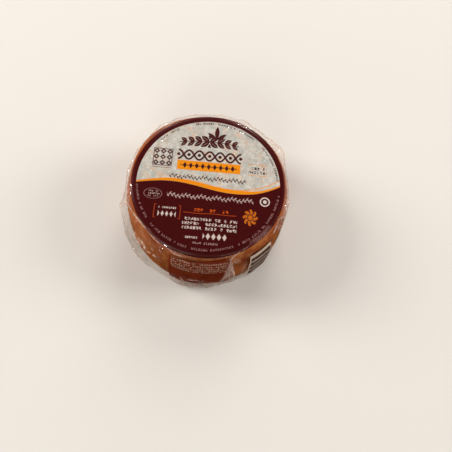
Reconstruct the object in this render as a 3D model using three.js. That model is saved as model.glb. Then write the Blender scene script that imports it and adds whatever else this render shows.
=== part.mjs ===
// A small round washed-rind cheese wrapped in clear film. A round label lies on its top, a
// printed strip runs down its front and a small striped sticker sits on its right-front side.
// Units are millimetres, +Z is up and the front is towards -Y. The origin lies on the resting
// plane, under the middle of the object's box.

import * as THREE from 'three';

// The wheel of cheese. Its side is a superellipse between the two flat faces.
const WHEEL_RADIUS = 48.8;
const WHEEL_HEIGHT = 39.2;
const EDGE_REACH = 9;
const EDGE_POWER = 3.3;

// How far the top face has slid to the right and to the back of the foot.
const LEAN_X = 0.6;
const LEAN_Y = 4.3;

// The film. It lies close to the rind and is stretched straight between corners, given as
// [degrees from +X towards +Y, millimetres from the wheel's axis] at three heights.
const FILM_GAP = 0.3;
const RIM_HEIGHT = 36.9;
const RIM_CORNERS = [
  [-14, 48.8], [25, 50.9], [32, 50.6], [48, 48.3], [63, 49.6], [81, 48.1], [103, 48.8],
  [114, 49], [128, 49.3], [153, 48.3], [171, 48.6], [194, 48.1], [212, 48], [258, 48],
  [284, 48], [321, 47.9],
];
const BELLY_HEIGHT = 24;
const BELLY_CORNERS = [
  [-24, 49.1], [30, 50.1], [89, 49.1], [140, 48.1], [166, 49], [189, 53], [204, 52.6],
  [218, 50.6], [234, 50], [262, 49], [290, 48.8], [304, 49.8], [318, 50.2],
];
const SKIRT_HEIGHT = 1.5;
const SKIRT_CORNERS = [
  [-9, 46.1], [11, 47.7], [30, 46.4], [52, 47.6], [74, 46.2], [97, 47], [120, 45.2],
  [142, 46.3], [161, 46.7], [179, 50.4], [194, 53.3], [209, 52.2], [221, 51.1], [236, 48.9],
  [250, 49.9], [257, 49.6], [269, 49.2], [280, 48.1], [292, 47.6], [303, 48.9], [315, 48.8],
  [326, 48.3],
];
const SKIRT_TUCK = 1.2;
const COLUMNS = 120;
const SIDE_LEVELS = [0.6, 1.5, 3, 5, 8, 12, 16, 20, 24, 28, 31, 34.5, RIM_HEIGHT];
const SHELF_RADIUS = 46.4;
const TOP_RADII = [45, 43, 40, 22];

// The labels. A gap keeps each one clear of what it is stuck to.
const LABEL_GAP = 0.3;
const LABEL_THICKNESS = 0.35;
const TOP_LABEL_RADIUS = 45.3;
const TOP_LABEL_SIDES = 96;
const TOP_LABEL_RINGS = [20, 36, 39, 41, 43, 44.3, TOP_LABEL_RADIUS];
const TOP_LABEL_SLIP = -0.9;
const FRONT_LABEL = { from: 243, to: 285, bottom: 8, top: RIM_HEIGHT };
const SIDE_STICKER = { from: 300, to: 318, bottom: 5, top: 31 };

const MATERIALS = {
  wrappedCheese: new THREE.MeshStandardMaterial({ color: 0x9a5a33, roughness: 0.35, metalness: 0 }),
  topLabel: new THREE.MeshStandardMaterial({ color: 0x471b1a, roughness: 0.4, metalness: 0 }),
  frontLabel: new THREE.MeshStandardMaterial({ color: 0x57210e, roughness: 0.45, metalness: 0 }),
  sideSticker: new THREE.MeshStandardMaterial({ color: 0x8a7368, roughness: 0.45, metalness: 0 }),
};

function wheelRadius(z) {
  const level = Math.abs((2 * z) / WHEEL_HEIGHT - 1);
  return WHEEL_RADIUS - EDGE_REACH + EDGE_REACH * (1 - level ** EDGE_POWER) ** (1 / EDGE_POWER);
}

function wheelTop(radius) {
  const reach = Math.max(0, radius - WHEEL_RADIUS + EDGE_REACH) / EDGE_REACH;
  return (WHEEL_HEIGHT / 2) * (1 + (1 - reach ** EDGE_POWER) ** (1 / EDGE_POWER));
}

// The distance, at an angle, to the straight line between the two corners beside it.
function chordRadius(corners, angle) {
  const start = corners[0][0];
  const turned = ((((angle - start) % 360) + 360) % 360) + start;
  let k = corners.length - 1;
  while (corners[k][0] > turned) {
    k -= 1;
  }
  const [fromAngle, fromRadius] = corners[k];
  const [nextAngle, toRadius] = corners[(k + 1) % corners.length];
  const toAngle = k + 1 < corners.length ? nextAngle : nextAngle + 360;
  const rad = THREE.MathUtils.degToRad;
  const span = fromRadius * toRadius * Math.sin(rad(toAngle - fromAngle));
  const near = fromRadius * Math.sin(rad(turned - fromAngle));
  const far = toRadius * Math.sin(rad(toAngle - turned));
  return span / (near + far);
}

function filmRadius(angle, z) {
  const rim = chordRadius(RIM_CORNERS, angle);
  const belly = chordRadius(BELLY_CORNERS, angle);
  const skirt = chordRadius(SKIRT_CORNERS, angle);
  const upper = (z - BELLY_HEIGHT) / (RIM_HEIGHT - BELLY_HEIGHT);
  const lower = (BELLY_HEIGHT - z) / (BELLY_HEIGHT - SKIRT_HEIGHT);
  const taut = z > BELLY_HEIGHT
    ? THREE.MathUtils.lerp(belly, rim, upper)
    : THREE.MathUtils.lerp(belly, skirt, Math.min(lower, 1));
  return Math.max(wheelRadius(z) + FILM_GAP, taut);
}

// A point at an angle, a height and a distance from the wheel's leaning axis.
function place(angle, radius, z) {
  const turn = THREE.MathUtils.degToRad(angle);
  const share = z / WHEEL_HEIGHT;
  return [
    LEAN_X * share + radius * Math.cos(turn),
    LEAN_Y * share + radius * Math.sin(turn),
    z,
  ];
}

function meshFrom(name, points, triangles, material) {
  const geometry = new THREE.BufferGeometry();
  geometry.setAttribute('position', new THREE.Float32BufferAttribute(points.flat(), 3));
  geometry.setIndex(triangles.flat());
  geometry.computeVertexNormals();
  const mesh = new THREE.Mesh(geometry, material);
  mesh.name = name;
  return mesh;
}

// The wrapped wheel: rings of points from the foot up to the top, closed at both centres.
function wrappedCheese() {
  const points = [];
  const triangles = [];
  const addRing = (radiusAt, z) => {
    for (let k = 0; k < COLUMNS; k += 1) {
      const angle = (360 * k) / COLUMNS;
      points.push(place(angle, radiusAt(angle), z));
    }
  };
  addRing((angle) => filmRadius(angle, 0) - SKIRT_TUCK, 0);
  SIDE_LEVELS.forEach((z) => addRing((angle) => filmRadius(angle, z), z));
  addRing(() => SHELF_RADIUS, wheelTop(SHELF_RADIUS));
  TOP_RADII.forEach((radius) => addRing(() => radius, wheelTop(radius)));
  const rings = points.length / COLUMNS;
  for (let ring = 0; ring + 1 < rings; ring += 1) {
    for (let k = 0; k < COLUMNS; k += 1) {
      const next = (k + 1) % COLUMNS;
      const low = ring * COLUMNS;
      const high = low + COLUMNS;
      triangles.push([low + k, low + next, high + next], [low + k, high + next, high + k]);
    }
  }
  const foot = points.push(place(0, 0, 0)) - 1;
  const crown = points.push(place(0, 0, WHEEL_HEIGHT)) - 1;
  const topRing = (rings - 1) * COLUMNS;
  for (let k = 0; k < COLUMNS; k += 1) {
    const next = (k + 1) % COLUMNS;
    triangles.push([foot, next, k], [crown, topRing + k, topRing + next]);
  }
  return meshFrom('wrapped_cheese', points, triangles, MATERIALS.wrappedCheese);
}

// The round label: a thin disc, stuck on a little off the middle, that follows the wheel's top
// out over its rounded edge.
function topLabel() {
  const points = [];
  const triangles = [];
  const sides = TOP_LABEL_SIDES;
  const addPoint = (x, y, offset) => {
    const z = wheelTop(Math.hypot(x, y));
    const share = z / WHEEL_HEIGHT;
    points.push([x + LEAN_X * share, y + LEAN_Y * share, z + offset]);
  };
  [LABEL_GAP, LABEL_GAP + LABEL_THICKNESS].forEach((offset) => {
    addPoint(0, TOP_LABEL_SLIP, offset);
    TOP_LABEL_RINGS.forEach((radius) => {
      for (let k = 0; k < sides; k += 1) {
        const turn = (2 * Math.PI * k) / sides;
        addPoint(radius * Math.cos(turn), TOP_LABEL_SLIP + radius * Math.sin(turn), offset);
      }
    });
  });
  const layer = points.length / 2;
  const rim = layer - sides;
  for (let k = 0; k < sides; k += 1) {
    const next = (k + 1) % sides;
    triangles.push([0, 1 + next, 1 + k], [layer, layer + 1 + k, layer + 1 + next]);
    for (let inner = 1; inner < rim; inner += sides) {
      const outer = inner + sides;
      triangles.push([inner + k, inner + next, outer + next], [inner + k, outer + next, outer + k]);
      const [a, b] = [layer + inner, layer + outer];
      triangles.push([a + k, b + next, a + next], [a + k, b + k, b + next]);
    }
    const top = layer + rim;
    triangles.push([rim + k, rim + next, top + next], [rim + k, top + next, top + k]);
  }
  return meshFrom('top_label', points, triangles, MATERIALS.topLabel);
}

// A label stuck round the side: a thin curved plate between two angles and two heights, with
// its points straight out from those of the wrapped wheel.
function sidePlate(name, patch, material) {
  const points = [];
  const triangles = [];
  const step = 360 / COLUMNS;
  const columns = (patch.to - patch.from) / step;
  const levels = SIDE_LEVELS.filter((z) => z >= patch.bottom && z <= patch.top);
  const rows = levels.length - 1;
  const across = columns + 1;
  const layer = across * levels.length;
  [LABEL_GAP, LABEL_GAP + LABEL_THICKNESS].forEach((offset) => {
    levels.forEach((z) => {
      for (let k = 0; k <= columns; k += 1) {
        const angle = patch.from + k * step;
        points.push(place(angle, filmRadius(angle, z) + offset, z));
      }
    });
  });
  const addQuad = (a, b, c, d) => triangles.push([a, b, c], [a, c, d]);
  for (let row = 0; row < rows; row += 1) {
    for (let k = 0; k < columns; k += 1) {
      const a = row * across + k;
      const b = a + 1;
      addQuad(a, a + across, b + across, b);
      addQuad(layer + a, layer + b, layer + b + across, layer + a + across);
    }
  }
  const lastRow = rows * across;
  for (let k = 0; k < columns; k += 1) {
    addQuad(k, k + 1, layer + k + 1, layer + k);
    addQuad(lastRow + k + 1, lastRow + k, layer + lastRow + k, layer + lastRow + k + 1);
  }
  for (let row = 0; row < rows; row += 1) {
    const a = row * across;
    const b = a + columns;
    addQuad(a + across, a, layer + a, layer + a + across);
    addQuad(b, b + across, layer + b + across, layer + b);
  }
  return meshFrom(name, points, triangles, material);
}

const cheese = new THREE.Group();
cheese.add(wrappedCheese());
cheese.add(topLabel());
cheese.add(sidePlate('front_label', FRONT_LABEL, MATERIALS.frontLabel));
cheese.add(sidePlate('side_sticker', SIDE_STICKER, MATERIALS.sideSticker));

// The group is slid so that the origin lies under the middle of the object's box.
cheese.updateMatrixWorld(true);
const middle = new THREE.Box3().setFromObject(cheese).getCenter(new THREE.Vector3());
cheese.position.set(-middle.x, -middle.y, 0);

export default cheese;
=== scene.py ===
import math

import bpy
import numpy as np
from mathutils import Matrix, Vector
from mathutils.bvhtree import BVHTree


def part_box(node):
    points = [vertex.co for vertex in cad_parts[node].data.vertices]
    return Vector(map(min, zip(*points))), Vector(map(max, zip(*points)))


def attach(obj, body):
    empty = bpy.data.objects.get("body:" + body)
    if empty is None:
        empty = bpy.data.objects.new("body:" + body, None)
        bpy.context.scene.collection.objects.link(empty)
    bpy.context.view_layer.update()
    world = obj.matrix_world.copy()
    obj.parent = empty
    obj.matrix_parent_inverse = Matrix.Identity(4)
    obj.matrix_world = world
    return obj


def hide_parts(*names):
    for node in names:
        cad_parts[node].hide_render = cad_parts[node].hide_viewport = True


# A small round cheese in clear film, with a round label on its top, a printed strip down its
# front and a striped sticker on its side. Lengths are metres; names with MM hold millimetres.

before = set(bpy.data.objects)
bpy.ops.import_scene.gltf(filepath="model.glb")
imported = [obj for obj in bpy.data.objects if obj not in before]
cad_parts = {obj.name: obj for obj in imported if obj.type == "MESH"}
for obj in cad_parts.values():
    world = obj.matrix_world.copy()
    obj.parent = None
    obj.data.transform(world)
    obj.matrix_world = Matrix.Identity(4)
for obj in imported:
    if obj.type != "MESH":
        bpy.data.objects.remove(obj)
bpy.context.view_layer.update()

MM = 0.001

# The wheel of cheese, whose side is a superellipse and whose top has slid off its foot.
WHEEL_RADIUS = 48.8 * MM
WHEEL_HEIGHT = 39.2 * MM
EDGE_REACH = 9 * MM
EDGE_POWER = 3.3
LEAN = Vector((0.6, 4.3, 0)) * MM

# The labels. The round one is stuck on a little off the middle of the top.
TOP_LABEL_RADIUS = 45.3 * MM
TOP_LABEL_SLIP = -0.9 * MM
LABEL_LIFT = 0.65 * MM
LABEL_THICKNESS = 0.35 * MM

# The photo's camera: its place is measured from the middle of the wheel's foot. It stands a
# little to the left of the front and is turned by as much, so that the print stays level.
PHOTO_SIDE_PIXELS = 452
FOCAL_PIXELS = 550
SENSOR_WIDTH = 36
CAMERA_ELEVATION = math.radians(68.5)
CAMERA_TURN = math.radians(8.5)
CAMERA_DISTANCE = 354.9 * MM
LOOKED_AT = Vector((12.89, -8.01, 0)) * MM


def wheel_top(radius):
    """The height of the wheel's top face and shoulder at a distance from its axis."""
    inward = np.maximum(0, radius - WHEEL_RADIUS + EDGE_REACH) / EDGE_REACH
    return WHEEL_HEIGHT / 2 * (1 + (1 - inward ** EDGE_POWER) ** (1 / EDGE_POWER))


def lean_share(across, along):
    """The share of the lean that a point of the top's surface has, for its place on the top."""
    return float(wheel_top(math.hypot(across, along))) / WHEEL_HEIGHT


label_low, label_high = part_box("top_label")
side_share = lean_share(TOP_LABEL_RADIUS, TOP_LABEL_SLIP)
front_share = lean_share(0, TOP_LABEL_SLIP - TOP_LABEL_RADIUS)
back_share = lean_share(0, TOP_LABEL_SLIP + TOP_LABEL_RADIUS)
FOOT = (label_low + label_high) / 2
FOOT -= Vector((LEAN.x * side_share, TOP_LABEL_SLIP + LEAN.y * (front_share + back_share) / 2, 0))
FOOT.z = 0


def place(angle, radius, height):
    """Points at angles, distances from the leaning axis and heights."""
    share = height / WHEEL_HEIGHT
    x = FOOT.x + LEAN.x * share + radius * np.cos(angle)
    y = FOOT.y + LEAN.y * share + radius * np.sin(angle)
    return np.stack(np.broadcast_arrays(x, y, height), axis=-1)


def smooth_step(value, start, end):
    share = np.clip((value - start) / (end - start), 0, 1)
    return share * share * (3 - 2 * share)


# Meshes

def grid_faces(rows, columns, closed):
    """The four-cornered faces of a grid of points, closed round its columns or open."""
    across = np.arange(columns if closed else columns - 1)
    beside = (across + 1) % columns
    low = np.arange(rows - 1)[:, None] * columns
    corners = [low + across, low + beside, low + columns + beside, low + columns + across]
    return np.stack(corners, axis=-1).reshape(-1, 4).tolist()


def add_piece(name, points, faces, material, slot, *nodes):
    """A smooth mesh that rides on the object and stands for the CAD nodes named."""
    mesh = bpy.data.meshes.new(name)
    mesh.from_pydata(np.asarray(points).reshape(-1, 3).tolist(), [], faces)
    mesh.shade_smooth()
    mesh.materials.append(material)
    piece = bpy.data.objects.new(name, mesh)
    bpy.context.scene.collection.objects.link(piece)
    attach(piece, "root")
    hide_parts(*nodes)
    return piece


def add_round_piece(name, rings, low_centre, high_centre, *rest):
    """A closed mesh of rings of points, from its lowest ring to its highest."""
    rows, columns = rings.shape[:2]
    points = np.vstack([rings.reshape(-1, 3), [low_centre, high_centre]])
    faces = grid_faces(rows, columns, True)
    low = rows * columns
    last = low - columns
    for k in range(columns):
        beside = (k + 1) % columns
        faces.append([low, beside, k])
        faces.append([low + 1, last + k, last + beside])
    return add_piece(name, points, faces, *rest)


def set_attribute(piece, name, kind, values):
    """A value or a vector for each point of a mesh, which its material reads."""
    attribute = piece.data.attributes.new(name, kind, "POINT")
    field = "value" if kind == "FLOAT" else "vector"
    attribute.data.foreach_set(field, np.asarray(values, np.float32).ravel())


def surface_of(*names):
    """The faces of some CAD nodes, to be searched with rays."""
    points = []
    faces = []
    for name in names:
        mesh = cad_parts[name].data
        start = len(points)
        points += [vertex.co.copy() for vertex in mesh.vertices]
        faces += [[start + k for k in face.vertices] for face in mesh.polygons]
    return BVHTree.FromPolygons(points, faces)


def outermost(surface, cores, ways):
    """How far from each core the surface lies, along a way out, met from outside."""
    far = 0.2
    found = np.zeros(cores.shape[:-1])
    for at in np.ndindex(found.shape):
        way = Vector(ways[at])
        hit = surface.ray_cast(Vector(cores[at]) + way * far, -way)
        found[at] = far - hit[3]
    return found


def soft_noise(angle, other, seed, waves):
    """A smooth random field round the wheel, between about -1 and 1."""
    draw = np.random.default_rng(seed)
    total = np.zeros(np.broadcast(angle, other).shape)
    for _ in range(waves):
        turns = draw.integers(1, 9)
        climb = draw.uniform(-90, 90)
        total = total + np.cos(turns * angle + climb * other + draw.uniform(0, 2 * math.pi))
    return total / math.sqrt(waves) / 1.5


# Shader nodes

def linear(red, green, blue):
    """A colour as a screen shows it, from 0 to 255, as linear light with full alpha."""
    shares = [value / 255 for value in (red, green, blue)]
    return (*[((s + 0.055) / 1.055) ** 2.4 if s > 0.04 else s / 12.92 for s in shares], 1)


class Field:
    """A number that varies over a surface: the output of a shader node."""

    def __init__(self, tree, socket):
        self.tree = tree
        self.socket = socket

    def math(self, operation, *others, clamp=False):
        node = self.tree.nodes.new("ShaderNodeMath")
        node.operation = operation
        node.use_clamp = clamp
        for socket, value in zip(node.inputs, (self, *others)):
            plug(self.tree, socket, value)
        return Field(self.tree, node.outputs[0])

    def __add__(self, other):
        return self.math("ADD", other)

    def __sub__(self, other):
        return self.math("SUBTRACT", other)

    def __mul__(self, other):
        return self.math("MULTIPLY", other)

    def __truediv__(self, other):
        return self.math("DIVIDE", other)

    def __abs__(self):
        return self.math("ABSOLUTE")

    def least(self, other):
        return self.math("MINIMUM", other)

    def most(self, other):
        return self.math("MAXIMUM", other)

    def above(self, other):
        return self.math("GREATER_THAN", other)

    def to_nearest(self, pitch):
        """The distance to the nearest multiple of pitch."""
        return self.math("PINGPONG", pitch / 2)

    def filled(self, softness=0.14):
        """A mask of where this distance to an edge, in millimetres, is below nought."""
        return self.math("MULTIPLY_ADD", -1 / softness, 0.5, clamp=True)

    def drawn(self, width):
        """A mask of the line where this distance is nought."""
        return (abs(self) - width / 2).filled()


def plug(tree, socket, value):
    if isinstance(value, Field):
        tree.links.new(value.socket, socket)
    else:
        socket.default_value = value


def length(across, up):
    return (across * across + up * up).math("SQRT")


def slab(u, v, left, low, right, high):
    """The distance to the edge of an upright box, below nought inside it."""
    beside = abs(u - (left + right) / 2) - (right - left) / 2
    return beside.most(abs(v - (low + high) / 2) - (high - low) / 2)


def turned(across, up, degrees):
    """The two coordinates along axes turned by an angle."""
    turn = math.radians(degrees)
    along = across * math.cos(turn) + up * math.sin(turn)
    return along, up * math.cos(turn) - across * math.sin(turn)


def leaf(along, aside, half_length, half_width):
    """The distance to the edge of a pointed leaf that starts at the origin."""
    share = along / half_length - 1
    return abs(aside) - (share * share * -1 + 1) * half_width


def new_material(name):
    material = bpy.data.materials.new(name)
    material.use_nodes = True
    return material, material.node_tree, material.node_tree.nodes["Principled BSDF"]


def cloud(tree, scale, detail, seed, vector=None):
    """Noise from about 0.3 to 0.7, at a number of lumps for each unit."""
    node = tree.nodes.new("ShaderNodeTexNoise")
    node.noise_dimensions = "4D"
    node.inputs["W"].default_value = seed
    node.inputs["Scale"].default_value = scale
    node.inputs["Detail"].default_value = detail
    if vector is None:
        vector = tree.nodes.new("ShaderNodeTexCoord").outputs["Object"]
    tree.links.new(vector, node.inputs["Vector"])
    return Field(tree, node.outputs["Fac"])


def blend(tree, mask, below, above):
    """The colour above where the mask is 1, and the one below it elsewhere."""
    node = tree.nodes.new("ShaderNodeMix")
    node.data_type = "RGBA"
    plug(tree, node.inputs[0], mask)
    plug(tree, node.inputs[6], below)
    plug(tree, node.inputs[7], above)
    return Field(tree, node.outputs[2])


def between(field, start, end):
    """A mask that rises from 0 to 1 as the field goes from start to end."""
    return field.math("MULTIPLY_ADD", 1 / (end - start), -start / (end - start), clamp=True)


def add_bump(tree, shader, height, distance, strength):
    bump = tree.nodes.new("ShaderNodeBump")
    bump.inputs["Strength"].default_value = strength
    bump.inputs["Distance"].default_value = distance
    plug(tree, bump.inputs["Height"], height)
    tree.links.new(bump.outputs["Normal"], shader.inputs["Normal"])
    return bump


def attribute_field(tree, name):
    node = tree.nodes.new("ShaderNodeAttribute")
    node.attribute_name = name
    return Field(tree, node.outputs["Fac"])


def mix_shaders(tree, share, first, second):
    """A mix of two shaders that holds this share of the second."""
    node = tree.nodes.new("ShaderNodeMixShader")
    plug(tree, node.inputs[0], share)
    tree.links.new(first.outputs[0], node.inputs[1])
    tree.links.new(second.outputs[0], node.inputs[2])
    return node


class Print:
    """A printed material, laid on colour by colour, in the label's own millimetres."""

    def __init__(self, name, paper, roughness):
        self.material, self.tree, self.shader = new_material(name)
        at = self.tree.nodes.new("ShaderNodeAttribute")
        at.attribute_name = "print_place"
        parts = self.tree.nodes.new("ShaderNodeSeparateXYZ")
        self.tree.links.new(at.outputs["Vector"], parts.inputs[0])
        self.vector = at.outputs["Vector"]
        self.u = Field(self.tree, parts.outputs["X"])
        self.v = Field(self.tree, parts.outputs["Y"])
        self.colour = paper
        self.shader.inputs["Roughness"].default_value = roughness
        self.shader.inputs["Specular IOR Level"].default_value = 0.06

    def lay(self, mask, colour):
        self.colour = blend(self.tree, mask, self.colour, colour)

    def cloud(self, scale, detail, seed):
        return cloud(self.tree, scale, detail, seed, self.vector)

    def chance(self, column, row, seed):
        """A random number from 0 to 1 for each cell."""
        joined = self.tree.nodes.new("ShaderNodeCombineXYZ")
        for socket, value in zip(joined.inputs, (column, row, seed)):
            plug(self.tree, socket, value)
        node = self.tree.nodes.new("ShaderNodeTexWhiteNoise")
        self.tree.links.new(joined.outputs[0], node.inputs["Vector"])
        return Field(self.tree, node.outputs["Value"])

    def rows_of_marks(self, along, up, height, pitch, seed):
        """Rows of small random marks, in words, like tiny print. The lowest row starts at up 0."""
        cell = height / 4
        line = (up / pitch).math("FLOOR")
        in_line = up - line * pitch
        column = (along / cell).math("FLOOR")
        row = (in_line / cell).math("FLOOR") + line * 8
        stroke = self.chance(column, row, seed).above(0.36)
        in_mark = column.math("FLOORED_MODULO", 4).above(0.5)
        word = (column / 4).math("FLOOR")
        in_word = self.chance(word, line, seed + 1).above(0.18)
        in_row = (in_line - height).filled(0.02)
        return stroke * in_mark * in_word * in_row

    def finish(self, bump_strength):
        plug(self.tree, self.shader.inputs["Base Color"], self.colour)
        grain = self.cloud(2.2, 4, 3)
        add_bump(self.tree, self.shader, grain, 0.1 * MM, bump_strength)
        return self.material


# The round label's print. Its coordinates run along its own turned axes, from an origin near
# the label's middle.

PRINT_UNIT = 1.0143
PRINT_ORIGIN = (0.14, 1.02)
PRINT_TURN = math.radians(-4.68)
LABEL_MIDDLE = -1.0
LABEL_EDGE = 44.66
FIELD_MIDDLE = -1.68
FIELD_RADIUS = 41.4

MAROON = linear(62, 12, 13)
CREAM = linear(190, 187, 179)
GOLD = linear(222, 134, 22)
ORANGE = linear(190, 78, 22)
BRICK = linear(156, 62, 22)
PALE = linear(196, 178, 170)
DARK = linear(66, 28, 28)


def wave_height(u):
    """The wavy line between the pale field above and the dark one below."""
    swing = ((u + 3) * (math.pi / 38)).math("SINE") * -2.45
    lift = (u - 25).most(0)
    return swing - 4.15 + lift * lift * 0.012


def lay_pale_field(art, in_field, over_wave):
    field = in_field.most(over_wave * -1).filled()
    hatch = ((art.u + art.v * 0.8) * 7.5).math("SINE") * 0.5 + 0.5
    layers = [
        (0.16, 3, 1, 0.44, 0.6, linear(168, 170, 164), 0.8),
        (0.24, 3, 5, 0.5, 0.66, linear(204, 176, 152), 0.8),
        (0.5, 4, 9, 0.5, 0.66, linear(214, 211, 204), 0.8),
        (0.8, 4, 7, 0.54, 0.7, linear(152, 134, 122), 0.55),
    ]
    cream = CREAM
    for scale, detail, seed, start, end, paint, strength in layers:
        patches = between(art.cloud(scale, detail, seed), start, end) * strength
        cream = blend(art.tree, patches, cream, paint)
    hatched = hatch * between(art.cloud(0.5, 2, 8), 0.4, 0.6) * 0.25
    art.lay(field, blend(art.tree, hatched, cream, linear(134, 118, 106)))


def lay_gold(art, in_field, over_wave):
    inside = in_field.filled()
    thickness = between(art.u, -44, -8) * 1.8 + 0.8 - between(art.u, 14, 38) * 1.6
    band = (abs(over_wave - thickness * 0.5) - thickness * 0.5).filled()
    art.lay(band * inside, GOLD)
    tail_rise = (art.u - 8).most(0)
    tail = over_wave - tail_rise * 0.075 - 1.6
    art.lay(tail.drawn(0.5) * between(art.u, 10, 20) * inside, GOLD)


def lay_sprig(art):
    """A leafy branch with a crest of three leaves, in the place of a picture."""
    along = abs(art.u + 1.5)
    stem = art.v - 25.9 + along * along * 0.005
    ends = (along - 17.6).filled()
    art.lay(stem.drawn(0.5) * ends, DARK)
    pitch = 4.4
    shrink = along * -0.02 + 1.1
    for start in (0, pitch):
        in_cell = along.math("FLOORED_MODULO", pitch) + start
        reach, aside = turned(in_cell, abs(stem), 36)
        art.lay(leaf(reach / shrink, aside / shrink, 3.1, 1.45).filled() * ends, DARK)
        vein = aside.drawn(0.22) * slab(reach, aside, 1.6, -1, 5.4, 1).filled()
        art.lay(vein * ends, linear(150, 120, 110))
    crest_u = abs(art.u - 2.5)
    crest_v = art.v - 27.6
    art.lay(leaf(crest_v, crest_u, 4.6, 1.35).filled(), DARK)
    reach, aside = turned(crest_u, crest_v, 38)
    art.lay(leaf(reach, aside, 3.5, 1.15).filled(), DARK)


def lay_braid(art):
    """Two crossing waves with a bead in each eye and at both ends."""
    left = -19.2
    right = 17.8
    middle = 16.2
    wavelength = 12.2
    rise = 2.9
    phase = (art.u + 0.75) * (2 * math.pi / wavelength)
    swing = phase.math("COSINE") * rise
    slope = phase.math("SINE") * (rise * 2 * math.pi / wavelength)
    steep = (slope * slope + 1).math("SQRT")
    across = art.v - middle
    zone = slab(art.u, art.v, left, 12.4, right, 20.2).filled()
    for strand in (across - swing, across + swing):
        art.lay((strand / steep).drawn(1.15) * zone, DARK)
    bead = (art.u + 0.75).to_nearest(wavelength / 2)
    art.lay((length(bead, across) - 1.0).filled() * zone, DARK)
    for end in (left, right):
        art.lay((length(art.u - end, across) - 0.8).filled(), DARK)


def lay_bar(art):
    """The golden bar, with a row of lozenges and dots."""
    middle = 9.25
    pitch = 3.5
    art.lay(slab(art.u, art.v, -19.2, 6.2, 17.7, 12.3).filled(), GOLD)
    zone = slab(art.u, art.v, -17.3, 6, 15.8, 12.4).filled()
    lozenge = (art.u + 0.75).to_nearest(pitch) / 1.25 + abs(art.v - middle) / 1.9 - 1
    art.lay(lozenge.filled() * zone, DARK)
    dot = length((art.u - 1).to_nearest(pitch), art.v - middle) - 0.4
    art.lay(dot.filled() * zone, DARK)


def lay_vine(art, left, right, middle, colour):
    """A thin waving stem with small slanted leaves on both of its sides."""
    phase = (art.u - left) * (2 * math.pi / 8.8)
    stem = art.v - middle - phase.math("SINE") * 0.55
    ends = slab(art.u, art.v, left, middle - 6, right, middle + 6).filled()
    art.lay(stem.drawn(0.3) * ends, colour)
    pitch = 2.2
    for side in (1, -1):
        along = (art.u - left + (side + 1) * pitch / 4).math("FLOORED_MODULO", pitch)
        reach, aside = turned(along - 0.1, stem * side, 50)
        art.lay(leaf(reach, aside, 0.95, 0.34).filled() * ends, colour)


def lay_tile(art):
    """A block of lozenges in a frame, over a rule."""
    left = -33.6
    right = -22.3
    pitch = 3.8
    block = slab(art.u, art.v, left, 7.6, right, 19)
    beside = (art.u + 31.7).to_nearest(pitch)
    upward = (art.v - 9.5).to_nearest(pitch)
    lozenge = beside / 1.85 + upward / 1.85 - 1
    middle = length(beside, upward) - 0.45
    art.lay(lozenge.filled() * block.filled(), linear(84, 56, 54))
    art.lay(middle.filled() * block.filled(), CREAM)
    art.lay((block + 0.25).drawn(0.5), linear(96, 66, 62))
    art.lay(slab(art.u, art.v, left, 6.3, right, 6.7).filled(), linear(120, 92, 84))


def lay_small_print(art, radius, in_field):
    """Rows of small marks, on the pale field and on the dark one, flat and round the rim."""
    dark_marks = art.rows_of_marks(art.u, art.v - 7.4, 1.7, 2.6, 11)
    art.lay(dark_marks * slab(art.u, art.v, 22.6, 7.2, 33.2, 12.2).filled(), DARK)
    art.lay(slab(art.u, abs(art.v - 9.7), 22.4, 3.35, 33.6, 3.65).filled(), GOLD)
    rows = art.rows_of_marks(art.u, art.v + 30.2, 1.7, 2.65, 21)
    art.lay(rows * slab(art.u, art.v, -12.7, -30.4, 18, -22.8).filled(), PALE)
    wide = art.rows_of_marks(art.u, art.v + 19.3, 1.8, 5, 31)
    art.lay(wide * slab(art.u, art.v, -8, -19.6, 13, -17.4).filled(), ORANGE)
    tiny = art.rows_of_marks(art.u, art.v + 38.7, 1.2, 3, 41)
    art.lay(tiny * slab(art.u, art.v, -10.8, -36.2, -1.4, -34).filled(), PALE)
    art.lay(tiny * slab(art.u, art.v, -6, -39, 8, -37).filled(), linear(150, 120, 116))
    turn = art.v.math("ARCTAN2", art.u)
    round_marks = art.rows_of_marks(turn * FIELD_RADIUS, in_field + 1.9, 1.2, 9, 51)
    spans = (abs(turn - 0.4) - 0.3).least(abs(turn - 1.35) - 0.52).least(abs(turn - 2.3) - 0.2)
    art.lay(round_marks * slab(in_field, art.v, -2.3, 4, -0.5, 60).filled() * spans.filled(0.01), DARK)
    low_marks = art.rows_of_marks(turn * FIELD_RADIUS, radius - 40.3, 1.3, 9, 61)
    lower = slab(radius, art.v, 40, -60, 41.8, -5.4).filled()
    art.lay(low_marks * lower, linear(130, 94, 92))


def lay_rule(art):
    rule = art.v + 20.3 - (art.u - 2) * 0.01 - (art.u * 0.35).math("SINE") * 0.15
    art.lay(rule.drawn(0.4) * slab(art.u, art.v, -12.8, -22, 17.2, -18).filled(), BRICK)


def lay_brackets(art):
    """Two brackets round a row of marks and a row of lozenges."""
    aside = abs(art.u + 21.85)
    upward = abs(art.v + 20.85)
    post = slab(aside, upward, 7.2, -1, 7.6, 4.15)
    hook = slab(aside, upward, 6.3, 3.8, 7.6, 4.15)
    art.lay(post.least(hook).filled(), BRICK)
    heads = art.rows_of_marks(art.u, art.v + 19.1, 1.2, 5, 71)
    art.lay(heads * slab(art.u, art.v, -27, -19.3, -17, -17.8).filled(), PALE)
    beads = abs((art.u + 21.85).to_nearest(2.5)) / 0.9 + abs(art.v + 22.3) / 1.7 - 1
    art.lay(beads.filled() * slab(art.u, art.v, -27, -25, -16.8, -19.5).filled(), PALE)


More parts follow.
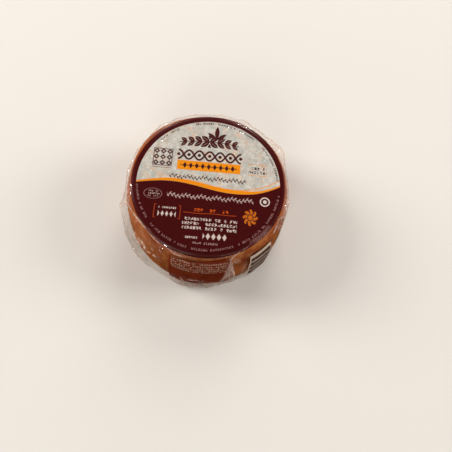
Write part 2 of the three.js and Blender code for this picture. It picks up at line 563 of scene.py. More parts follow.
def lay_oval(art):
    """A thin oval with rows of small marks in it."""
    oval = length((art.u + 31) / 5.1, (art.v + 10.5) / 3.2) * 4 - 4
    art.lay(oval.drawn(0.25), linear(144, 112, 108))
    in_oval = art.rows_of_marks(art.u, art.v + 12.6, 1, 1.6, 81)
    art.lay(in_oval * (oval + 1).filled(), linear(160, 136, 132))


def lay_seal(art):
    """A pale disc with a dark ring."""
    radius = length(art.u - 33, art.v + 10)
    art.lay((radius - 2.9).filled(), linear(206, 192, 184))
    art.lay((radius - 1.65).drawn(1.1), DARK)


def lay_lozenges(art):
    row = (art.u - 2.3).to_nearest(3.1) / 1.25 + abs(art.v + 33.8) / 2 - 1
    art.lay(row.filled() * slab(art.u, art.v, -0.6, -37, 12.6, -31).filled(), PALE)


def lay_rosette(art):
    """Eight petals round a heart. Its lengths are shares of its size."""
    size = 4.6
    across = (art.u - 25.2) / 4.3
    up = (art.v + 20.4) / 5.1
    radius = length(across, up)
    turn = up.math("ARCTAN2", across)
    petals = radius - 0.68 - abs((turn * 4).math("COSINE")) * 0.32
    art.lay((petals * size).filled(), linear(182, 94, 24))
    art.lay(((radius - 0.36) * size).drawn(0.5), DARK)
    veins = (turn * 8).math("SINE").above(0.6) * radius.above(0.45)
    art.lay(veins * ((radius - 0.85) * size).filled(), DARK)


def round_label_material():
    art = Print("round_label_print", MAROON, 0.3)
    radius = length(art.u, art.v - LABEL_MIDDLE)
    in_field = length(art.u, art.v - FIELD_MIDDLE) - FIELD_RADIUS
    over_wave = art.v - wave_height(art.u)
    art.lay(between(radius, LABEL_EDGE - 2, LABEL_EDGE), linear(76, 22, 18))
    lay_pale_field(art, in_field, over_wave)
    lay_gold(art, in_field, over_wave)
    lay_sprig(art)
    lay_braid(art)
    lay_bar(art)
    lay_vine(art, -23, 21.5, 1.6, DARK)
    lay_tile(art)
    lay_vine(art, -23, 26.5, -10.4, linear(176, 150, 146))
    lay_small_print(art, radius, in_field)
    lay_rule(art)
    lay_brackets(art)
    lay_oval(art)
    lay_seal(art)
    lay_lozenges(art)
    lay_rosette(art)
    return art.finish(0.25)


def strip_material():
    """The printed strip down the front: rows of tiny pale marks on dark red-brown."""
    art = Print("front_strip_print", linear(134, 50, 20), 0.4)
    art.lay(between(art.cloud(0.12, 3, 2), 0.4, 0.65), linear(112, 34, 12))
    rows = art.rows_of_marks(art.u, art.v, 1.3, 2.2, 5)
    zone = slab(art.u, art.v, -16.5, 23.8, 16.5, 34.8).filled()
    art.lay(zone * 0.35, linear(140, 84, 62))
    art.lay(rows * zone, linear(206, 166, 144))
    return art.finish(0.3)


def sticker_material():
    """Dark stripes of uneven width, running round the side, on pale paper."""
    art = Print("sticker_print", linear(212, 186, 166), 0.4)
    zone = slab(art.u, art.v, -6.9, 6, 7.3, 28.2).filled()
    for pitch, share, seed in ((6.3, 0.9, 4), (1.6, 0.7, 6)):
        row = art.v / pitch
        stripe = art.chance(row.math("FLOOR"), 0.5, seed) * 0.25 + share - 0.25
        dark = row.math("FRACT").math("LESS_THAN", stripe * 0.75)
        art.lay(dark * zone, linear(72, 48, 42))
    return art.finish(0.2)


# The rind. The wheel's shoulder is a little fuller at the back left.

RIND_LUMPS = 0.35 * MM
RIND_INSET = 0.25 * MM
RIND_FOOT = 0.15 * MM
FULL_SHOULDER_ANGLE = math.radians(137)
FULL_SHOULDER_SPAN = math.radians(34)
FULL_SHOULDER_HEIGHT = 37 * MM
FULL_SHOULDER_DEPTH = 1.7 * MM
FULL_SHOULDER_GAIN = 1.1 * MM
SHOULDER_START = 42 * MM


def rind_material():
    """A moist washed rind: orange-brown, mottled, with paler bloom and darker wet patches."""
    material, tree, shader = new_material("rind")
    colour = linear(164, 84, 32)
    layers = [
        (30, 3, 1, 0.45, 0.62, linear(182, 100, 42), 0.85),
        (48, 4, 2, 0.48, 0.64, linear(128, 54, 16), 0.8),
        (95, 5, 8, 0.5, 0.66, linear(202, 132, 76), 0.5),
        (210, 4, 3, 0.52, 0.7, linear(204, 146, 96), 0.35),
        (420, 3, 4, 0.54, 0.72, linear(98, 42, 16), 0.55),
    ]
    for scale, detail, seed, start, end, paint, strength in layers:
        mask = between(cloud(tree, scale, detail, seed), start, end) * strength
        colour = blend(tree, mask, colour, paint)
    plug(tree, shader.inputs["Base Color"], colour)
    shader.inputs["Roughness"].default_value = 0.35
    shader.inputs["Specular IOR Level"].default_value = 0.25
    shader.inputs["Subsurface Weight"].default_value = 0.08
    shader.inputs["Subsurface Radius"].default_value = (1.0, 0.45, 0.2)
    shader.inputs["Subsurface Scale"].default_value = 2 * MM
    relief = cloud(tree, 260, 5, 6) + cloud(tree, 900, 3, 7) * 0.4
    add_bump(tree, shader, relief, 0.5 * MM, 0.5)
    return material


def make_cheese():
    """The wheel, a little uneven, from the middle of its foot round its side to its top."""
    columns = 300
    turn = np.linspace(-math.pi / 2, math.pi / 2, 73)
    power = 2 / EDGE_POWER
    side_radius = WHEEL_RADIUS - EDGE_REACH + EDGE_REACH * np.cos(turn).clip(0) ** power
    side_height = WHEEL_HEIGHT / 2 * (1 + np.sign(turn) * np.abs(np.sin(turn)) ** power)
    flat = np.linspace(4 * MM, WHEEL_RADIUS - EDGE_REACH - 2 * MM, 8)
    radius = np.concatenate([flat, side_radius, flat[::-1]])[:, None]
    height = np.concatenate([0 * flat, side_height, 0 * flat + WHEEL_HEIGHT])[:, None]
    angle = np.linspace(0, 2 * math.pi, columns, endpoint=False)[None, :]
    lumps = soft_noise(angle, height, 3, 14) * smooth_step(radius, 38 * MM, 47 * MM)
    round_back = np.exp(-((angle - FULL_SHOULDER_ANGLE) / FULL_SHOULDER_SPAN) ** 2)
    near_top = np.exp(-((height - FULL_SHOULDER_HEIGHT) / FULL_SHOULDER_DEPTH) ** 2)
    fuller = FULL_SHOULDER_GAIN * round_back * near_top * (radius > SHOULDER_START)
    rings = place(angle, radius + RIND_LUMPS * lumps - RIND_INSET + fuller, height)
    rings[..., 2] = np.clip(rings[..., 2], RIND_FOOT, WHEEL_HEIGHT)
    centres = place(0.0, 0.0, np.array([RIND_FOOT, WHEEL_HEIGHT]))
    material = rind_material()
    return add_round_piece("cheese", rings, *centres, material, "rind", "wrapped_cheese")


# The labels' meshes

LABEL_RIPPLE = 0.06 * MM


def make_round_label():
    """A thin paper disc that follows the wheel's top out over its shoulder."""
    columns = 240
    radii = np.append(np.linspace(2 * MM, TOP_LABEL_RADIUS - 1 * MM, 34), TOP_LABEL_RADIUS)[:, None]
    turn = np.linspace(0, 2 * math.pi, columns, endpoint=False)[None, :]
    across = radii * np.cos(turn)
    along = TOP_LABEL_SLIP + radii * np.sin(turn)
    reach = np.hypot(across, along)
    ripple = soft_noise(turn, radii, 5, 10) * smooth_step(radii, 34 * MM, 46 * MM)
    over = place(np.arctan2(along, across), reach, wheel_top(reach))
    over[..., 2] += LABEL_LIFT + LABEL_RIPPLE * (ripple - 1)
    under = over - [0, 0, LABEL_THICKNESS - LABEL_RIPPLE]
    rings = np.concatenate([under, over[::-1]])
    centre = Vector(place(-math.pi / 2, -TOP_LABEL_SLIP, WHEEL_HEIGHT)) + Vector((0, 0, LABEL_LIFT))
    low_centre = centre - Vector((0, 0, LABEL_THICKNESS))
    piece = add_round_piece(
        "round_label", rings, low_centre, centre, round_label_material(), "top_print", "top_label"
    )
    spot = np.array([vertex.co - centre for vertex in piece.data.vertices]) / MM
    x = (spot[:, 0] - PRINT_ORIGIN[0]) / PRINT_UNIT
    y = (spot[:, 1] - PRINT_ORIGIN[1]) / PRINT_UNIT
    u = x * math.cos(PRINT_TURN) + y * math.sin(PRINT_TURN)
    v = y * math.cos(PRINT_TURN) - x * math.sin(PRINT_TURN)
    set_attribute(piece, "print_place", "FLOAT_VECTOR", np.stack([u, v, 0 * u], axis=-1))
    return piece


def polar_limits(node):
    """The angles and heights between which a CAD label lies, round the leaning axis."""
    points = np.array([vertex.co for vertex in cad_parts[node].data.vertices])
    share = points[:, 2] / WHEEL_HEIGHT
    across = points[:, 0] - FOOT.x - LEAN.x * share
    up = points[:, 1] - FOOT.y - LEAN.y * share
    angle = np.mod(np.arctan2(up, across), 2 * math.pi)
    return angle.min(), angle.max(), points[:, 2].min(), points[:, 2].max()


def make_side_label(name, node, material, slot, top_drop):
    """A curved plate over a CAD label's outer face. Its top edge is lower at its left end."""
    first, last, low, high = polar_limits(node)
    inset = 0.02 * MM
    columns = 90
    rows = 60
    angle = np.linspace(first, last, columns)[None, :]
    share = np.linspace(0, 1, rows)[:, None]
    top = high - inset - top_drop * np.linspace(1, 0, columns)[None, :]
    height = low + inset + share * (top - low - inset)
    squeeze = 1 - inset / WHEEL_RADIUS
    middle_angle = (first + last) / 2
    angle = middle_angle + (angle - middle_angle) * squeeze
    cores = place(angle, 0.0, height)
    flat_way = np.stack(np.broadcast_arrays(np.cos(angle), np.sin(angle), 0 * height), axis=-1)
    radius = outermost(surface_of(node), cores, flat_way)
    outer = place(angle, radius, height)
    inner = place(angle, radius - LABEL_THICKNESS, height)
    layer = rows * columns
    faces = grid_faces(rows, columns, False)
    faces += [[layer + k for k in reversed(face)] for face in faces]
    along = list(range(columns))
    up_right = [row * columns + columns - 1 for row in range(1, rows)]
    back = [layer - 1 - k for k in range(1, columns)]
    up_left = [row * columns for row in range(rows - 2, 0, -1)]
    rim = along + up_right + back + up_left
    for here, there in zip(rim, rim[1:] + rim[:1]):
        faces.append([there, here, layer + here, layer + there])
    points = np.concatenate([outer.reshape(-1, 3), inner.reshape(-1, 3)])
    piece = add_piece(name, points, faces, material, slot, node)
    u = ((angle - middle_angle) * WHEEL_RADIUS / MM + 0 * height).ravel()
    v = (height + 0 * angle).ravel() / MM
    spot = np.stack([u, v, 0 * u], axis=-1)
    set_attribute(piece, "print_place", "FLOAT_VECTOR", np.concatenate([spot, spot]))
    return piece


# The film. Places on it are given as (degrees round the wheel, millimetres up its side and on
# over its shoulder towards the middle of the top).

FILM_GAP = 0.12 * MM
FILM_COLUMNS = 864
# The columns stand closer where the photo shows fine creases: so many up to each of the turns.
COLUMNS_UP_TO = [0, 240, 830, FILM_COLUMNS]
DEGREES_UP_TO = [0, 185, 346, 360]
LOWEST_ROW = 0.5 * MM
ROW_PITCH = 0.47 * MM
SHOULDER_ROWS = 28
TOP_ROWS = 12
INMOST_ROW = 2 * MM
UNDER_ROWS = 9
FILM_TUCK = 1.2 * MM
RELAX_PASSES = 40
CORE_RADIUS = 40 * MM
CORE_HEIGHT = 31 * MM
SHOULDER_RADIUS = 48 * MM
DEGREE_MM = math.radians(1) * 49
# How strongly the creases are whitened; their whiteness is partly a painted highlight.
CREASE_WHITENESS = 1.5
HAZE_AND_GLARE_RAGGEDNESS = 0.5
HAZE_AND_GLARE_SOFTNESS = 0.8
CLEAR_TINT = (0.99, 0.982, 0.974, 1)
EDGE_TINT = (0.85, 0.82, 0.79, 1)
# The whitish film's colours are painted with the warm, pinkish tint of the glare on it.
THIN_VEIL = linear(228, 158, 148)
THICK_VEIL = linear(250, 226, 208)

# The facets of the crumpled film: how many to a metre, and how strong.
FACETS = [(120, 900), (300, 700), (700, 600)]

# Each crease is its corners, its height and width in millimetres and how whitish it is. The whiteness
# is partly the film's own whitening at a fold and partly a painted highlight: the bright glints that
# the folds catch from the lamps.
CREASES = [
    ([(186, 28.4), (191, 32.5), (195, 35.3), (199, 38.1), (203, 38.8)], 0.8, 0.7, 0.8),
    ([(199, 38.1), (205, 39.4), (211, 40.8), (217, 41.2), (222, 40.8)], 0.45, 0.8, 0.9),
    ([(219, 41.1), (222, 40.8), (229, 40.2), (236, 39.1)], 0.4, 0.6, 0.8),
    ([(236, 39.1), (241, 39.7), (246, 38.3), (250, 38.3), (256, 39.4)], 0.4, 0.5, 0.6),
    ([(212, 29), (214, 26.8)], 0.9, 0.5, 1),
    ([(216, 28), (218, 26.4)], 0.9, 0.55, 1),
    ([(220, 27.3), (222, 25.8)], 0.8, 0.5, 1),
    ([(221, 26.2), (225, 22.8)], 0.9, 0.65, 1),
    ([(225, 22.6), (229, 24.4)], 0.9, 0.5, 1),
    ([(230, 24), (234, 26)], 0.8, 0.6, 1),
    ([(213, 25.5), (221, 22.8), (225, 20.5), (233, 23.3)], 0.6, 0.7, 0),
    ([(228, 30.4), (231, 28.8)], 0.6, 0.5, 1),
    ([(235, 34.4), (237, 32)], 0.5, 0.45, 0.9),
    ([(185, 24), (188, 24.5), (190, 25.6)], 0.7, 0.7, 0.8),
    ([(196, 4), (200, 6.3), (202, 9)], 0.7, 0.7, 0.7),
    ([(214, 5), (215, 2.4)], 0.6, 0.6, 0.9),
    ([(240, 3.2), (242, 3.6), (244, 4.8), (247, 5.1)], 0.9, 0.5, 1),
    ([(243, 12.4), (247, 12.6), (249, 8), (248, 4.6)], 0.5, 0.6, 0.25),
    ([(248, 4.6), (251, 3.7), (253, 4.9), (256, 2.7)], 1.0, 0.6, 1),
    ([(251, 14.8), (253, 9.4), (256, 5.6)], 0.7, 0.5, 0.6),
    ([(255, 11.3), (258, 12.6), (262, 13.2), (266, 12.6)], 0.6, 0.45, 0.9),
    ([(254, 1.1), (257, 0.9), (264, 1.7), (268, 2)], 0.6, 0.5, 0.9),
    ([(265, 10.5), (268, 6.4), (271, 8.6), (277, 12.2)], 0.6, 0.5, 0.4),
    ([(270, 1.2), (275, 2.5), (279, 8.9), (282, 17), (283, 25.8), (285, 36.9)], 0.9, 0.6, 0.5),
    ([(285, 36.9), (286, 32.6), (287, 26.4), (289, 16), (290, 8)], 1.0, 0.6, 0.8),
    ([(289, 5.3), (292, 8.7), (295, 17), (297, 23.9), (297, 28.2)], 0.8, 0.7, 0.25),
    ([(292, 2), (295, 5), (298, 10), (299, 18.4)], 0.6, 0.8, 0.2),
    ([(288, 34.3), (289, 32.4), (291, 31.9)], 0.4, 0.45, 0.7),
    ([(284, 36.6), (286, 37.8), (292, 40.3), (294, 41.1)], 0.5, 0.45, 0.8),
    ([(294, 41.1), (298, 41.6), (302, 41.8)], 0.3, 0.4, 0.5),
    ([(302, 41.5), (310, 41.3), (317, 41), (323, 41)], 0.3, 0.5, 0.35),
    ([(350, 38), (347, 36.9), (342, 34)], 0.7, 0.5, 1),
    ([(342, 34), (338, 33), (336, 36), (334, 38.3), (332, 40.5)], 0.7, 0.5, 1),
    ([(337, 37.8), (332, 39.2), (328, 38.6)], 0.6, 0.45, 1),
    ([(329, 39), (325, 37.6), (321, 36)], 0.6, 0.5, 0.8),
    ([(340, 36), (341, 32), (337, 29)], 0.6, 0.5, 0.5),
    ([(52, 1), (56, 12), (58, 24), (60, 33)], 0.9, 0.6, 0.6),
    ([(60, 33), (63, 22), (67, 9), (68, 3)], 0.8, 0.6, 0.5),
    ([(96, 2), (100, 11), (99, 20)], 0.7, 0.6, 0.4),
    ([(112, 4), (108, 16), (110, 29)], 0.8, 0.6, 0.5),
    ([(128, 30), (133, 17), (131, 3)], 0.8, 0.7, 0.5),
    ([(158, 28), (152, 15), (155, 2)], 0.8, 0.6, 0.4),
    ([(20, 27), (26, 14), (24, 2)], 0.8, 0.6, 0.4),
    ([(157, 36.9), (142, 37), (127, 36.9), (116, 37.4), (109, 36.9)], 0.3, 0.5, 0.5),
    ([(109, 37.2), (104, 38), (99, 37.3), (85, 37.4), (75, 37.3)], 0.3, 0.5, 0.6),
    ([(65, 36.8), (58, 37.2), (48, 37.2), (36, 37.6), (28, 36.9), (22, 36.9)], 0.3, 0.5, 0.6),
]

# Whitish areas: their corners and how whitish they are. They are partly milky film and partly painted
# glare, where the film over the label's edge and shoulder catches the light.
HAZES_AND_GLARE = [
    ([(210, 40.6), (216, 42.4), (222, 43.2), (229, 42.2), (236, 40.6), (229, 40.2), (219, 40.8)], 0.22),
    ([(150, 36.5), (160, 39), (172, 41.3), (186, 41.3), (198, 39), (186, 29), (165, 31)], 0.34),
    ([(285, 37), (286, 32), (288, 22), (290, 13), (280, 12), (282, 20), (284, 31)], 0.7),
    ([(290, 13), (287, 3), (270, 3), (275, 6), (280, 13)], 0.35),
    ([(302, 42.3), (303, 44.2), (310, 44.8), (316, 44.8), (323, 44.2), (323, 42), (312, 42.2)], 0.3),
    ([(330, 34), (334, 39), (345, 39), (352, 36), (345, 31)], 0.3),
    ([(348, 34), (345, 41), (356, 42), (375, 41.5), (392, 40), (398, 37), (385, 35), (362, 33)], 0.3),
    ([(240, 1), (243, 5), (252, 6.5), (257, 4), (256, 0)], 0.25),
    ([(196, 26), (196, 36), (208, 38), (226, 38), (236, 36), (236, 30), (222, 27)], 0.05),
    ([(104, 36.6), (106, 38), (128, 37.6), (150, 37.6), (150, 36.4)], 0.12),
    ([(54, 3), (57, 16), (60, 33), (64, 19), (67, 4)], 0.35),
    ([(126, 30), (131, 17), (130, 4), (137, 9), (139, 22)], 0.25),
]

# Fine random wrinkles: [first and last angle, lowest and highest place, how many, the lean of
# their run from upright in degrees, height, how whitish].
WRINKLES = [
    (0, 360, 0.5, 9, 130, 35, 0.35, 0.06),
    (0, 360, 31, 38, 40, 60, 0.18, 0.08),
    (15, 172, 1, 30, 85, 40, 0.7, 0.45),
    (205, 236, 20, 27, 22, 80, 0.5, 0.45),
    (236, 262, 1, 8, 34, 60, 0.7, 0.5),
    (262, 292, 1, 12, 26, 45, 0.5, 0.35),
    (328, 346, 29, 39, 34, 70, 0.6, 0.5),
    (180, 200, 22, 37, 20, 50, 0.5, 0.35),
    (282, 294, 28, 39, 14, 60, 0.4, 0.4),
    (0, 360, -30, 0, 110, 8, 0.25, 0.03),
]


def near_line(corners, angle, reach):
    """The distance to a line on the film and the share of the line that lies behind, from 0 to 1."""
    best = np.full(angle.shape, np.inf)
    behind = np.zeros(angle.shape)
    done = 0.0
    for (angle_from, reach_from), (angle_to, reach_to) in zip(corners, corners[1:]):
        across = ((angle - angle_from + 180) % 360 - 180) * DEGREE_MM
        up = reach - reach_from
        run = (angle_to - angle_from) * DEGREE_MM
        rise = reach_to - reach_from
        span = math.hypot(run, rise)
        share = np.clip((across * run + up * rise) / span ** 2, 0, 1)
        distance = np.hypot(across - share * run, up - share * rise)
        closer = distance < best
        best = np.where(closer, distance, best)
        behind = np.where(closer, done + share * span, behind)
        done += span
    return best, behind / done


def inside_area(corners, angle, reach, softness):
    """A mask of the inside of an area on the film, with a soft edge."""
    inside = np.zeros(angle.shape, bool)
    ring = corners + corners[:1]
    start = corners[0][0]
    across = (angle - start + 180) % 360 - 180 + start
    for (angle_from, reach_from), (angle_to, reach_to) in zip(ring, ring[1:]):
        if reach_from == reach_to:
            continue
        crossed = (reach_from > reach) != (reach_to > reach)
        meets = angle_from + (reach - reach_from) / (reach_to - reach_from) * (angle_to - angle_from)
        inside ^= crossed & (across < meets)
    edge = near_line(ring, angle, reach)[0]
    return smooth_step(np.where(inside, edge, -edge), -softness, softness)


def relax(taut, passes):
    """Stretches the film over what it covers: it bridges hollows and rests on the ridges."""
    film = taut.copy()
    for _ in range(passes):
        above = np.vstack([film[1:], film[-1:]])
        below = np.vstack([film[:1], film[:-1]])
        beside = np.roll(film, 1, axis=1) + np.roll(film, -1, axis=1)
        film = np.maximum(taut, (above + below + beside) / 4)
    return film


def film_rows():
    """For each row of the film, up the side, round the shoulder and over the top: where its ray
    starts, as a radius and a height, which way it goes, as sideways and up, and its reach."""
    side = np.arange(LOWEST_ROW, CORE_HEIGHT, ROW_PITCH)
    fan = np.linspace(0, math.pi / 2, SHOULDER_ROWS + 2)[1:-1]
    over = np.linspace(CORE_RADIUS, INMOST_ROW, TOP_ROWS)
    shoulder = fan.size
    core_radius = np.concatenate([0 * side + CORE_RADIUS, np.full(shoulder, CORE_RADIUS), over])
    core_height = np.concatenate([side, np.full(shoulder, CORE_HEIGHT), 0 * over])
    sideways = np.concatenate([0 * side + 1, np.cos(fan), 0 * over])
    upward = np.concatenate([0 * side, np.sin(fan), 0 * over + 1])
    return [part[:, None] for part in (core_radius, core_height, sideways, upward)]


def wrinkled(angle, reach):
    """The height in metres and the whiteness of all creases, wrinkles and whitish areas at places on
    the film. The whiteness is partly painted highlight and glare.
    """
    height = np.zeros(angle.shape)
    haze_and_glare = np.full(angle.shape, 0.004)
    draw = np.random.default_rng(11)
    lines = list(CREASES)
    for first, last, low, high, count, lean, tallest, whitest in WRINKLES:
        for _ in range(count):
            turn, up = draw.uniform(first, last), draw.uniform(low, high)
            tilt = math.radians(draw.uniform(-lean, lean))
            half = draw.uniform(1.2, 4.5)
            across, rise = math.sin(tilt) * half / DEGREE_MM, math.cos(tilt) * half
            bend = draw.uniform(-0.5, 0.5)
            corners = [(turn - across, up - rise), (turn + bend, up), (turn + across, up + rise)]
            tall = tallest * draw.uniform(0.3, 1)
            wide = draw.uniform(0.45, 0.8)
            lines.append((corners, tall, wide, whitest * draw.uniform(0, 1)))
    for corners, tall, wide, white in lines:
        distance, behind = near_line(corners, angle, reach)
        taper = np.sin(math.pi * np.clip(behind, 0.02, 0.98)) ** 0.6
        ridge = np.exp(-(distance / wide) ** 2) * taper
        height = np.maximum(height, tall * ridge)
        haze_and_glare = np.maximum(haze_and_glare, min(1, white * CREASE_WHITENESS) * ridge)
    ragged = soft_noise(6 * np.radians(angle), 6 * reach * MM, 17, 24) * HAZE_AND_GLARE_RAGGEDNESS
    # The whitish areas: partly milky film, partly painted glare on the film.
    for corners, white in HAZES_AND_GLARE:
        haze_and_glare = np.maximum(haze_and_glare, white * inside_area(corners, angle, reach + ragged, HAZE_AND_GLARE_SOFTNESS))
    return height * MM, haze_and_glare


def stretched_place(tree, rise):
    """Object coordinates in which upright lengths count less, for marks that run up the side."""
    place_node = tree.nodes.new("ShaderNodeTexCoord")
    scaled = tree.nodes.new("ShaderNodeVectorMath")
    scaled.operation = "MULTIPLY"
    scaled.inputs[1].default_value = (1, 1, rise)
    tree.links.new(place_node.outputs["Object"], scaled.inputs[0])
    return scaled.outputs[0]


def facets(tree, scale, upright):
    """Relief of flat facets, each with a tilt of its own, in metres."""
    cells = tree.nodes.new("ShaderNodeTexVoronoi")
    cells.inputs["Scale"].default_value = scale
    tree.links.new(upright, cells.inputs["Vector"])
    away = tree.nodes.new("ShaderNodeVectorMath")
    away.operation = "SUBTRACT"
    tree.links.new(upright, away.inputs[0])
    tree.links.new(cells.outputs["Position"], away.inputs[1])
    tilt = tree.nodes.new("ShaderNodeVectorMath")
    tilt.operation = "SUBTRACT"
    tilt.inputs[1].default_value = (0.5, 0.5, 0.5)
    tree.links.new(cells.outputs["Color"], tilt.inputs[0])
    both = tree.nodes.new("ShaderNodeVectorMath")
    both.operation = "DOT_PRODUCT"
    tree.links.new(away.outputs[0], both.inputs[0])
    tree.links.new(tilt.outputs[0], both.inputs[1])
    return Field(tree, both.outputs["Value"])


def ridges(tree, upright):
    """A mask of straight thin ridges, here and there."""
    cells = tree.nodes.new("ShaderNodeTexVoronoi")
    cells.feature = "DISTANCE_TO_EDGE"
    cells.inputs["Scale"].default_value = 170
    tree.links.new(upright, cells.inputs["Vector"])
    ridge = between(Field(tree, cells.outputs["Distance"]), 0.12, 0.02)
    return ridge * between(cloud(tree, 90, 3, 15, upright), 0.47, 0.6)


def film_material():
    """Clear film: it lets light through, shines at a slant and is whitish where it is folded, with
    painted glare and highlights where it catches the light.
    """
    material, tree, shader = new_material("film")
    nodes = tree.nodes
    upright = stretched_place(tree, 0.35)
    haze_and_glare = attribute_field(tree, "haze_and_glare")
    loose = attribute_field(tree, "loose")
    lines = ridges(tree, upright) * loose
    flats = [facets(tree, scale, upright) * strength for scale, strength in FACETS]
    relief = sum(flats[1:], flats[0]) * (loose + haze_and_glare) + lines * 0.3
    bump = add_bump(tree, shader, relief, 0.5 * MM, 1)

    slant = nodes.new("ShaderNodeLayerWeight")
    slant.inputs["Blend"].default_value = 0.5
    edge = Field(tree, slant.outputs["Facing"]).math("POWER", 5)
    clear = nodes.new("ShaderNodeBsdfTransparent")
    plug(tree, clear.inputs["Color"], blend(tree, edge.most(lines * 0.3), CLEAR_TINT, EDGE_TINT))

    # The veil's colour is painted light: the warm tint of the glare on the film, pink where the veil is
    # thin over the print and warm white where it is thick.
    thick = loose + between(haze_and_glare, 0.35, 0.6)
    milk = blend(tree, thick, THIN_VEIL, THICK_VEIL)
    plug(tree, shader.inputs["Base Color"], milk)
    shader.inputs["Roughness"].default_value = 0.4
    glow = nodes.new("ShaderNodeBsdfTranslucent")
    plug(tree, glow.inputs["Color"], milk)
    milky = mix_shaders(tree, 0.45, shader, glow)
    streaks = between(cloud(tree, 700, 3, 12, upright), 0.4, 0.58)
    # How whitish the film is: folded and milky film, with painted glare and glints.
    whiteness = haze_and_glare * (streaks * 0.5 + 0.65) + lines * (haze_and_glare * 1.5 + 0.02)
    veiled = mix_shaders(tree, whiteness, clear, milky)

    gloss = nodes.new("ShaderNodeBsdfGlossy")
    gloss.inputs["Roughness"].default_value = 0.07
    shiny = mix_shaders(tree, edge * 0.11 + 0.02, veiled, gloss)
    for node in (gloss, slant):
        tree.links.new(bump.outputs[0], node.inputs["Normal"])
    tree.links.new(shiny.outputs[0], nodes["Material Output"].inputs["Surface"])
    return material


def make_film():
    """A thin closed bag stretched over the cheese and its labels."""
    core_radius, core_height, sideways, upward = film_rows()
    columns = np.arange(FILM_COLUMNS)
    angle = np.radians(np.interp(columns, COLUMNS_UP_TO, DEGREES_UP_TO))[None, :]
    top_lean = np.where(upward == 1, WHEEL_HEIGHT, core_height)
    cores = place(angle, core_radius, top_lean)
    cores[..., 2] = core_height
    parts = np.broadcast_arrays(sideways * np.cos(angle), sideways * np.sin(angle), upward)
    ways = np.stack(parts, axis=-1)
    taut = outermost(surface_of("wrapped_cheese", "top_label", "front_label"), cores, ways)
    taut[upward[:, 0] == 1] -= CORE_HEIGHT
    stretched = relax(taut, RELAX_PASSES) + FILM_GAP
    stretched[upward[:, 0] == 1] += CORE_HEIGHT
    radius = core_radius + stretched * sideways
    height = core_height + stretched * upward
    reach = (height + np.maximum(0, SHOULDER_RADIUS - radius)) / MM
    degrees = np.degrees(angle) + 0 * reach
    raised, haze_and_glare = wrinkled(degrees, reach)
    side = cores + ways * (stretched + raised)[..., None]

    foot = radius[:1] - FILM_TUCK
    share = np.linspace(0.06, 1, UNDER_ROWS)[:, None]
    under_radius = foot * share
    under_reach = (under_radius - foot) / MM
    under_raised, under_haze_and_glare = wrinkled(np.degrees(angle) + 0 * under_reach, under_reach)
    under = place(angle, under_radius, 0 * under_radius)
    under[..., 2] = 0.3 * under_raised * (share < 0.99)
    rings = np.concatenate([under, side])
    low_centre = place(0.0, 0.0, 0.0)
    high_centre = side[-1].mean(axis=0)
    piece = add_round_piece(
        "film", rings, low_centre, high_centre, film_material(), "film", "wrapped_cheese"
    )
    whiteness = np.concatenate([under_haze_and_glare.ravel(), haze_and_glare.ravel(), [0, 0]])
    # The film's whiteness, partly painted highlights and glare, for its material to read.
    set_attribute(piece, "haze_and_glare", "FLOAT", whiteness)
    off_label = np.hypot(radius * np.cos(angle), radius * np.sin(angle) - TOP_LABEL_SLIP)
    loose = smooth_step(off_label, TOP_LABEL_RADIUS, TOP_LABEL_RADIUS + 1.5 * MM)
    looseness = np.concatenate([np.ones(under_haze_and_glare.size), loose.ravel(), [1, 0]])
    set_attribute(piece, "loose", "FLOAT", looseness)
    return piece


# The studio

LIGHT_COLOUR = (1, 0.975, 0.945)
WORLD_COLOUR = (1, 0.99, 0.97, 1)
WORLD_STRENGTH = 0.14
FLOOR_HALF = 1.5
FLOOR_DROP = 0.05 * MM

# The soft lights: name, place, side in metres and power.
SOFT_LIGHTS = [
    ("key", (0.4, 1.7, 1.0), 1, 22),
    ("front_fill", (-0.4, -1.6, 0.9), 0.8, 12),
    ("left_fill", (-1.6, 0.6, 0.9), 0.8, 36),
    ("right_fill", (1.6, 0.2, 0.8), 0.8, 23),
]

# The places of the small lights that only show in reflections.
GLINTS = [
    (-0.5, -0.5, 0.26), (0.3, 0.9, 0.5), (0.8, -0.35, 0.4), (-0.9, 0.3, 0.3), (-0.4, -0.9, 0.6),
    (0.35, -0.9, 0.35), (-0.25, 0.9, 0.3),
]
GLINT_SIDE = 0.09
GLINT_POWER = 4.4


def add_area_light(name, away, side, power, only_glossy=False):
    """A square light that faces the object, for soft light or only for glossy reflections."""
    data = bpy.data.lights.new(name, "AREA")
    data.shape = "SQUARE"
    data.size = side
    data.energy = power
    data.color = LIGHT_COLOUR
    light = bpy.data.objects.new(name, data)
    bpy.context.scene.collection.objects.link(light)
    light.location = away
    light.rotation_euler = (-Vector(away)).to_track_quat("-Z", "Y").to_euler()
    light.visible_glossy = only_glossy
    light.visible_diffuse = not only_glossy


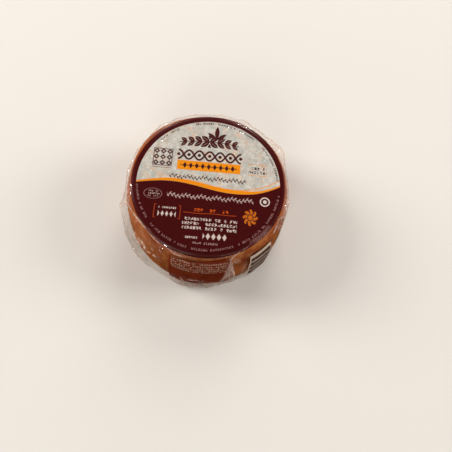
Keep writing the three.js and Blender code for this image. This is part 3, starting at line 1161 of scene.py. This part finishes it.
def make_lights():
    scene = bpy.context.scene
    scene.view_settings.view_transform = "Standard"
    world = bpy.data.worlds.new("studio")
    world.use_nodes = True
    background = world.node_tree.nodes["Background"]
    background.inputs["Color"].default_value = WORLD_COLOUR
    background.inputs["Strength"].default_value = WORLD_STRENGTH
    scene.world = world
    world.cycles_visibility.glossy = False
    for name, away, side, power in SOFT_LIGHTS:
        add_area_light(name, away, side, power)
    for k, away in enumerate(GLINTS):
        add_area_light(f"glint_{k}", away, GLINT_SIDE, GLINT_POWER, True)


def make_floor():
    mesh = bpy.data.meshes.new("floor")
    signs = [(-1, -1), (1, -1), (1, 1), (-1, 1)]
    corners = [(x * FLOOR_HALF, y * FLOOR_HALF, -FLOOR_DROP) for x, y in signs]
    mesh.from_pydata(corners, [], [(0, 1, 2, 3)])
    material, tree, shader = new_material("floor")
    shader.inputs["Base Color"].default_value = linear(216, 210, 203)
    shader.inputs["Roughness"].default_value = 0.9
    mesh.materials.append(material)
    floor = bpy.data.objects.new("floor", mesh)
    floor.visible_glossy = False
    floor.visible_diffuse = False
    bpy.context.scene.collection.objects.link(floor)


def make_camera():
    data = bpy.data.cameras.new("camera")
    data.sensor_width = SENSOR_WIDTH
    data.lens = SENSOR_WIDTH * FOCAL_PIXELS / PHOTO_SIDE_PIXELS
    data.clip_start = 0.01
    camera = bpy.data.objects.new("camera", data)
    bpy.context.scene.collection.objects.link(camera)
    sideways = -math.cos(CAMERA_ELEVATION) * math.sin(CAMERA_TURN)
    forward = -math.cos(CAMERA_ELEVATION) * math.cos(CAMERA_TURN)
    away = Vector((sideways, forward, math.sin(CAMERA_ELEVATION)))
    camera.location = FOOT + LOOKED_AT + away * CAMERA_DISTANCE
    around = Matrix.Rotation(-CAMERA_TURN, 3, "Z")
    tipped = Matrix.Rotation(math.pi / 2 - CAMERA_ELEVATION, 3, "X")
    rolled = Matrix.Rotation(CAMERA_TURN, 3, "Z")
    camera.rotation_euler = (around @ tipped @ rolled).to_euler()
    bpy.context.scene.camera = camera


make_camera()
make_lights()
make_floor()
make_cheese()
make_round_label()
make_side_label("front_strip", "front_label", strip_material(), "front_print", 3.5 * MM)
make_side_label("striped_sticker", "side_sticker", sticker_material(), "sticker_print", 0)
make_film()
